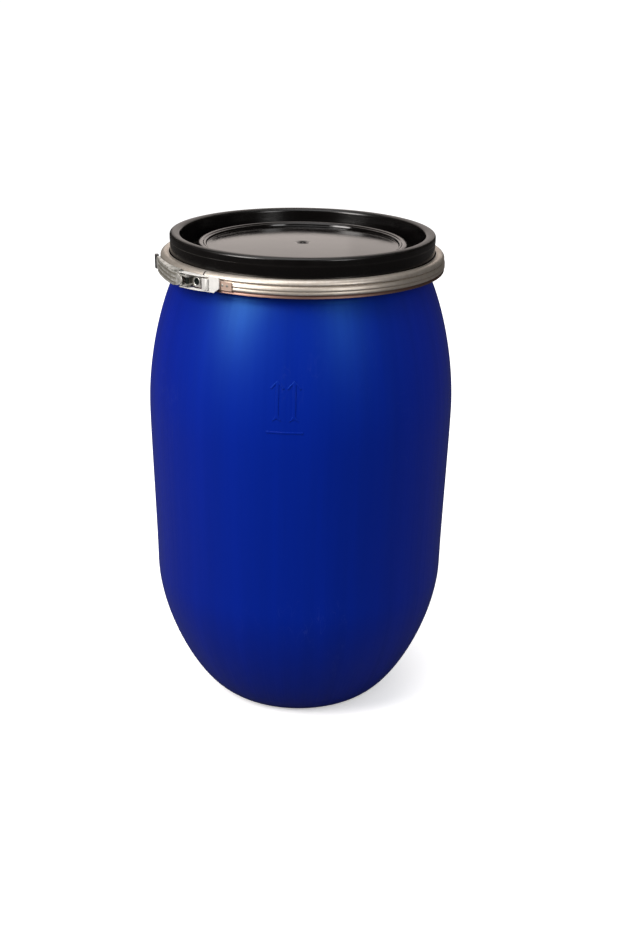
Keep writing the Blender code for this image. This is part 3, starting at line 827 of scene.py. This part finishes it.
class DRUM_OT_arrows(bpy.types.Operator):
    """Two raised arrows over a bar, for keeping the drum upright"""
    bl_idname = "drum.arrows"
    bl_label = "Handling Arrows"

    def execute(self, context):
        sizes = context.scene.drum_sizes
        notch = 0.0065
        half = [(0.0, ARROW_TIP), (ARROW_HEAD_HALF, ARROW_SHOULDER),
                (ARROW_HEAD_HALF - 0.0022, ARROW_SHOULDER - 0.0020),
                (ARROW_SHAFT_HALF, ARROW_TIP - notch), (ARROW_SHAFT_HALF, ARROW_TAIL + 0.0080),
                (ARROW_TAIL_HALF, ARROW_TAIL), (0.0, ARROW_TAIL + 0.0040)]
        arrow = half + [(-x, y) for x, y in reversed(half[1:-1])]
        end = 0.0050
        bar_half = [(0.0, BAR_HEIGHT + 0.0014), (BAR_HALF - end, BAR_HEIGHT + 0.0014),
                    (BAR_HALF - 0.6 * end, BAR_HEIGHT + 0.0021), (BAR_HALF, BAR_HEIGHT + 0.0015)]
        bar = bar_half + [(x, 2 * BAR_HEIGHT - y) for x, y in reversed(bar_half)]
        bar += [(-x, 2 * BAR_HEIGHT - y) for x, y in bar_half[1:]]
        bar += [(-x, y) for x, y in reversed(bar_half[1:])]
        marks = []
        for outline, bearing in [(arrow, bearing) for bearing in ARROW_BEARINGS] + [(bar, BAR_BEARING)]:
            bm = raised(outline, sizes.relief + WALL * 0.2)
            top = max(vert.co.z for vert in bm.verts)
            upper = [edge for edge in bm.edges if all(vert.co.z > 0.5 * top for vert in edge.verts)]
            bevelled(bm, upper, 0.8 * sizes.relief, 3)
            place(bm, Matrix.Translation((0, 0, -WALL * 0.2)))
            for height in CUT_HEIGHTS:
                sliced(bm, (0, height, 0), (0, 1, 0))
            for along in CUT_WIDTHS:
                sliced(bm, (along, 0, 0), (1, 0, 0))
            wrapped(bm, bearing)
            marks.append(bm)
        whole = joined(marks)
        face_out(whole)
        finished("handling_arrows", whole, finish("blue_polyethylene"), "drum")
        return {"FINISHED"}


class DRUM_OT_lid(bpy.types.Operator):
    """Lid with its crowned panel, grooved ledge, gutter, hollow collar and clamping flange"""
    bl_idname = "drum.lid"
    bl_label = "Lid"

    def execute(self, context):
        panel = []
        for step in range(1, PANEL_RINGS + 1):
            share = step / PANEL_RINGS
            radius = DIMPLE_RADIUS + (PANEL_RADIUS - DIMPLE_RADIUS) * share
            panel.append((radius, PANEL_EDGE + PANEL_CROWN * (1.0 - (radius / PANEL_RADIUS) ** 2)))
        rest = eased([(*panel[-1], 0.0), *LID_CORNERS], 5)[1:]
        under = [(radius, height - LID_SKIN) for radius, height in reversed(panel[2::3])]
        bm = turned(CENTRE_MARK + panel + rest + under + [(0.0, PANEL_MIDDLE - LID_SKIN)],
                    context.scene.drum_sizes.turn_steps)
        finished("lid_shell", bm, finish("black_polyethylene"), "lid", ["lid"])
        return {"FINISHED"}


class DRUM_OT_gasket(bpy.types.Operator):
    """Foam ring that seals the lid's collar on the drum's lip"""
    bl_idname = "drum.gasket"
    bl_label = "Gasket"

    def execute(self, context):
        low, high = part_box("lid_gasket")[0][2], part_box("lid_gasket")[1][2]
        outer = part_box("lid_gasket")[1][0]
        inner = outer - 0.0092
        ease = 0.0014
        section = eased([(inner, low, ease), (inner, high, ease), (outer, high, ease),
                         (outer, low, ease)])
        bm = turned(section, context.scene.drum_sizes.turn_steps, closed=True)
        finished("foam_gasket", bm, finish("foam_rubber"), "lid", ["lid_gasket"])
        return {"FINISHED"}


class DRUM_OT_band(bpy.types.Operator):
    """Split clamp ring rolled from sheet: shoulder, groove, bead, lower groove and two lips"""
    bl_idname = "drum.band"
    bl_label = "Clamp Ring"

    def execute(self, context):
        outside = [(BAND_BEAD - inward, BAND_HIGH - down) for inward, down in BAND_SECTION]
        outside += [(BAND_BEAD - inward, BAND_LOW + up) for inward, up in BAND_LIP]
        outside = flowing(outside, 3)
        inside = list(reversed(inner_side(outside, -BAND_SHEET)))
        start = 270.0 - GAP_BEARING + 0.5 * GAP_ANGLE
        bm = turned(outside + inside, 240, closed=True, start=start, sweep=360.0 - GAP_ANGLE)
        finished("rolled_band", bm, finish("rolled_zinc"), "clamp_ring", ["ring_band"])
        return {"FINISHED"}


class DRUM_OT_latch_plates(bpy.types.Operator):
    """Riveted lugs on the two ends of the clamp ring"""
    bl_idname = "drum.latch_plates"
    bl_label = "Latch Plates"

    def execute(self, context):
        edge = context.scene.drum_sizes.stamped_edge
        for name, node, zinc_name in (("fulcrum_lug", "fulcrum_bracket", "lever_zinc_and_shade"),
                                      ("hook_lug", "hook_plate", "hook_zinc")):
            piece = finished(name, merged_copy(node), finish(zinc_name), "clamp_ring",
                             [node])
            soften(piece, edge, 2)
        return {"FINISHED"}


def facing_out(bearing, rho, height):
    """The matrix that stands a piece's Z axis outward at a bearing."""
    spot = polar(rho, bearing, height)
    outward = Vector((spot.x, spot.y, 0.0)).to_track_quat("Z", "Y")
    return Matrix.Translation(spot) @ outward.to_matrix().to_4x4()


class DRUM_OT_rivets(bpy.types.Operator):
    """Rolled eyelet and domed rivets that hold the latch plates"""
    bl_idname = "drum.rivets"
    bl_label = "Rivets"

    def execute(self, context):
        name, bearing, height, radius = EYELET
        rolled = arc((radius - EYELET_ROLL, 0.0004), EYELET_ROLL, 0, 180, 10)
        inner = radius - 2 * EYELET_ROLL
        outline = [(inner, -0.0002)] + list(reversed(rolled)) + [(radius, -0.0002)]
        bm = turned(outline, 48, closed=True)
        place(bm, facing_out(bearing, PLATE_RHO + 0.0004, height))
        finished("rolled_eyelet", bm, finish("stamped_zinc"), "clamp_ring", [name])
        # A near-black disc over the eyelet's middle: painted shade standing in for the shade inside the
        # eyelet's hollow
        core = [(0.0, 0.0004), (0.25 * inner, 0.0003), (0.45 * inner, 0.0001), (0.9 * inner, 0.0001),
                (inner + 0.0002, 0.0003), (inner + 0.0002, -0.0002), (0.0, -0.0002)]
        bm = turned(core, 40)
        place(bm, facing_out(bearing, PLATE_RHO + 0.0004, height))
        finished("eyelet_shade_disc", bm, finish("dark_steel_and_shade"), "clamp_ring")
        for name, bearing, height, radius, rise in DOMED_RIVETS:
            ball = (radius ** 2 + rise ** 2) / (2 * rise)
            lift = math.degrees(math.acos((ball - rise) / ball))
            dome = arc((0.0, rise - ball), ball, 90 - lift, 90, 8)
            bm = turned([(0.0, -0.0002), (radius, -0.0002)] + dome, 32)
            place(bm, facing_out(bearing, PLATE_RHO + 0.0003, height))
            # The domes take the darkened lever finish, so their dark dots are partly painted shade
            finished(name + "_dome", bm, finish("lever_zinc_and_shade"), "clamp_ring", [name])
        return {"FINISHED"}


class DRUM_OT_pins(bpy.types.Operator):
    """Headed pins of the lever and of the link"""
    bl_idname = "drum.pins"
    bl_label = "Pins"

    def execute(self, context):
        for name, node, body, shank in (("lever_pivot_pin", "lever_pin", "clamp_ring", 0.0025),
                                        ("link_pivot_pin", "link_pin", "lever", 0.0022)):
            low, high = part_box(node)
            head = 0.5 * (high[0] - low[0])
            half = 0.5 * (high[2] - low[2])
            thick = 0.0010
            upper = eased([(0.0, half, 0.0), (head, half, 0.0006), (head, half - thick, 0.0002),
                           (shank, half - thick, 0.0002), (shank, 0.0, 0.0)])
            lower = [(radius, -height) for radius, height in reversed(upper[:-1])]
            bm = turned(upper + lower, 40)
            centre = 0.5 * (Vector(low) + Vector(high))
            place(bm, Matrix.Translation(centre))
            finished(name, bm, finish("dark_steel_and_shade"), body, [node])
        return {"FINISHED"}


def crown_rho(bearing):
    """The radius of the lever's back at a bearing."""
    for (rho_a, first), (rho_b, last) in zip(LEVER_CROWN, LEVER_CROWN[1:]):
        if first <= bearing <= last:
            return rho_a + (rho_b - rho_a) * (bearing - first) / (last - first)
    raise ValueError(f"the lever's back doesn't reach bearing {bearing}")


def lever_face(bearing):
    """The radius of the lever's outer face, which rises from its back to its pinned end."""
    first, last = RISE_BEARINGS
    share = min(max((last - bearing) / (last - first), 0.0), 1.0)
    share = share * share * (3.0 - 2.0 * share)
    back = crown_rho(max(bearing, LEVER_CROWN[0][1])) + 0.0001
    return back + (YOKE_RHO - back) * share


class DRUM_OT_lever(bpy.types.Operator):
    """Stamped lever with three pressed ribs, and the cap on its tongue"""
    bl_idname = "drum.lever"
    bl_label = "Lever"

    def execute(self, context):
        sizes = context.scene.drum_sizes
        lever = finished("lever_channel", merged_copy("lever"), finish("lever_zinc_and_shade"), "lever",
                         ["lever"])
        soften(lever, sizes.stamped_edge, 2)
        self.build_yoke(sizes)
        ribs = []
        first, last = RIB_BEARINGS
        for height in RIB_HEIGHTS:
            bm = bmesh.new()
            bmesh.ops.create_grid(bm, x_segments=36, y_segments=8, size=1.0)
            for vert in bm.verts:
                along, across = vert.co.x, vert.co.y
                bearing = 0.5 * (first + last) + 0.5 * (last - first) * along
                fade = max(0.0, 1.0 - abs(along) ** 8)
                rise = sizes.rib_height * math.cos(0.5 * math.pi * across) ** 2 * fade
                vert.co = polar(lever_face(bearing) + rise - 0.00005, bearing,
                                LATCH_Z + height + RIB_HALF * across)
            bmesh.ops.solidify(bm, geom=bm.faces[:], thickness=0.0004)
            face_out(bm)
            ribs.append(bm)
        finished("lever_ribs", joined(ribs), finish("lever_zinc_and_shade"), "lever")
        grip = finished("lever_cap", merged_copy("lever_grip"), finish("grip_plastic"), "lever",
                        ["lever_grip"])
        soften(grip, 0.0007, 3)
        return {"FINISHED"}

    def build_yoke(self, sizes):
        """The tapered, notched end of the stamping, over the lever's two pins."""
        upper = [(YOKE_BEARINGS[1], 0.0100), (50.4, 0.0100), (48.9, 0.0086), (47.8, 0.0056),
                 (YOKE_BEARINGS[0], 0.0020)]
        outline = upper + [(bearing, -height) for bearing, height in reversed(upper)]
        bm = raised(outline, YOKE_SHEET)
        for step in range(24):
            sliced(bm, (YOKE_BEARINGS[0] + 0.5 * step, 0, 0), (1, 0, 0))
        for vert in bm.verts:
            bearing, height, out = vert.co
            vert.co = polar(lever_face(bearing) - YOKE_SHEET + out, bearing, LATCH_Z + height)
        face_out(bm)
        yoke = finished("lever_yoke", bm, finish("lever_zinc_and_shade"), "lever")
        soften(yoke, sizes.stamped_edge, 2)


class DRUM_OT_link(bpy.types.Operator):
    """Link that straddles the lever and pulls on the hook lug"""
    bl_idname = "drum.link"
    bl_label = "Link"

    def execute(self, context):
        bm = merged_copy("link")
        start = polar(HEAD_RHO, 31.0, LATCH_Z - 0.0040)
        end = polar(HEAD_RHO, 33.4, LATCH_Z - 0.0117)
        outward = Vector((start.x, start.y, 0.0)).normalized()
        cut = sliced(bm, start, outward.cross(end - start), clear=True)
        rim = [item for item in cut if isinstance(item, bmesh.types.BMEdge)]
        bmesh.ops.edgeloop_fill(bm, edges=rim)
        face_out(bm)
        link = finished("pull_link", bm, finish("bright_zinc"), "link", ["link"])
        soften(link, context.scene.drum_sizes.stamped_edge, 2)
        return {"FINISHED"}


def softbox(name, power, place_at, look_at, width, height, colour):
    """A soft rectangular light aimed at a point."""
    lamp = bpy.data.lights.new(name, "AREA")
    lamp.shape = "RECTANGLE"
    lamp.size = width
    lamp.size_y = height
    lamp.energy = power
    lamp.color = colour
    light = bpy.data.objects.new(name, lamp)
    light.location = place_at
    light.rotation_euler = (Vector(look_at) - Vector(place_at)).to_track_quat("-Z", "Y").to_euler()
    bpy.context.scene.collection.objects.link(light)


def by_ray(tree, to_camera, in_gloss, elsewhere):
    """A colour of the stage that differs by the kind of ray that meets it."""
    paths = add(tree, "ShaderNodeLightPath").outputs
    lit = blended(tree, paths["Is Glossy Ray"], elsewhere, in_gloss)
    return blended(tree, paths["Is Camera Ray"], lit, to_camera)


class DRUM_OT_stage(bpy.types.Operator):
    """Plain pale floor, soft studio lights and the camera"""
    bl_idname = "drum.stage"
    bl_label = "Stage"

    def execute(self, context):
        studio = context.scene.drum_studio
        self.build_floor()
        self.build_world(context)
        for name, setting, share, spot, aim, width, height, tint in LIGHTS:
            softbox(name, share * getattr(studio, setting), spot, aim, width, height, tint)
        self.build_camera(context)
        return {"FINISHED"}

    def build_floor(self):
        """A matt pale floor, large enough for every view."""
        bm = bmesh.new()
        bmesh.ops.create_grid(bm, x_segments=8, y_segments=8, size=70.0)
        mesh = bpy.data.meshes.new("studio_floor")
        bm.to_mesh(mesh)
        bm.free()
        floor = bpy.data.objects.new("studio_floor", mesh)
        bpy.context.scene.collection.objects.link(floor)
        material, tree, shader = new_finish("studio_floor")
        paths = add(tree, "ShaderNodeLightPath").outputs
        tone = by_ray(tree, (0.92, 0.92, 0.92), (0.085, 0.080, 0.076), (0.20, 0.20, 0.20))
        tree.links.new(tone, shader.inputs["Base Color"])
        lift = times(tree, paths["Is Camera Ray"], 0.36)
        tree.links.new(lift, shader.inputs["Emission Strength"])
        shader.inputs["Emission Color"].default_value = (1.0, 1.0, 1.0, 1.0)
        shader.inputs["Roughness"].default_value = 0.9
        shader.inputs["Specular IOR Level"].default_value = 0.0
        mesh.materials.append(material)

    def build_world(self, context):
        """An even surround: white to the camera, grey as light and dark in reflections."""
        world = bpy.data.worlds.new("studio")
        world.use_nodes = True
        tree = world.node_tree
        tone = by_ray(tree, (1.0, 1.0, 1.0), (0.036, 0.032, 0.026), (0.72, 0.72, 0.73))
        tree.links.new(tone, tree.nodes["Background"].inputs["Color"])
        context.scene.world = world

    def build_camera(self, context):
        """The main camera."""
        lens = bpy.data.cameras.new("camera")
        lens.lens = CAMERA_LENS
        lens.sensor_width = 36.0
        camera = bpy.data.objects.new("camera", lens)
        camera.matrix_world = (Matrix.Translation(CAMERA_PLACE)
                               @ Matrix.Rotation(math.radians(CAMERA_TILT), 4, "X")
                               @ Matrix.Rotation(math.radians(CAMERA_ROLL), 4, "Z"))
        context.scene.collection.objects.link(camera)
        context.scene.camera = camera
        context.scene.view_settings.view_transform = "Standard"


class DRUM_PT_panel(bpy.types.Panel):
    """The drum's sizes, colours and building steps"""
    bl_idname = "DRUM_PT_panel"
    bl_label = "Open-Top Drum"
    bl_space_type = "VIEW_3D"
    bl_region_type = "UI"
    bl_category = "Drum"

    def draw(self, context):
        for settings in (context.scene.drum_sizes, context.scene.drum_colours,
                         context.scene.drum_studio):
            box = self.layout.box()
            for name in settings.__annotations__:
                box.prop(settings, name)
        for step in STEPS:
            self.layout.operator(step.bl_idname)


STEPS = [DRUM_OT_body, DRUM_OT_pinch_line, DRUM_OT_arrows, DRUM_OT_lid, DRUM_OT_gasket,
         DRUM_OT_band, DRUM_OT_latch_plates, DRUM_OT_rivets, DRUM_OT_pins, DRUM_OT_lever,
         DRUM_OT_link, DRUM_OT_stage]
SETTINGS = [("drum_sizes", DrumSizes), ("drum_colours", DrumColours), ("drum_studio", StudioSettings)]


def register():
    """Add the drum's settings, steps and panel to Blender."""
    for name, group in SETTINGS:
        bpy.utils.register_class(group)
        setattr(bpy.types.Scene, name, PointerProperty(type=group))
    for step in STEPS:
        bpy.utils.register_class(step)
    bpy.utils.register_class(DRUM_PT_panel)


def unregister():
    """Take the drum's settings, steps and panel away again."""
    bpy.utils.unregister_class(DRUM_PT_panel)
    for step in reversed(STEPS):
        bpy.utils.unregister_class(step)
    for name, group in reversed(SETTINGS):
        delattr(bpy.types.Scene, name)
        bpy.utils.unregister_class(group)


def main():
    """Build every piece and the stage."""
    register()
    bpy.ops.drum.body()
    bpy.ops.drum.pinch_line()
    bpy.ops.drum.arrows()
    bpy.ops.drum.lid()
    bpy.ops.drum.gasket()
    bpy.ops.drum.band()
    bpy.ops.drum.latch_plates()
    bpy.ops.drum.rivets()
    bpy.ops.drum.pins()
    bpy.ops.drum.lever()
    bpy.ops.drum.link()
    bpy.ops.drum.stage()


if __name__ == "__main__":
    main()
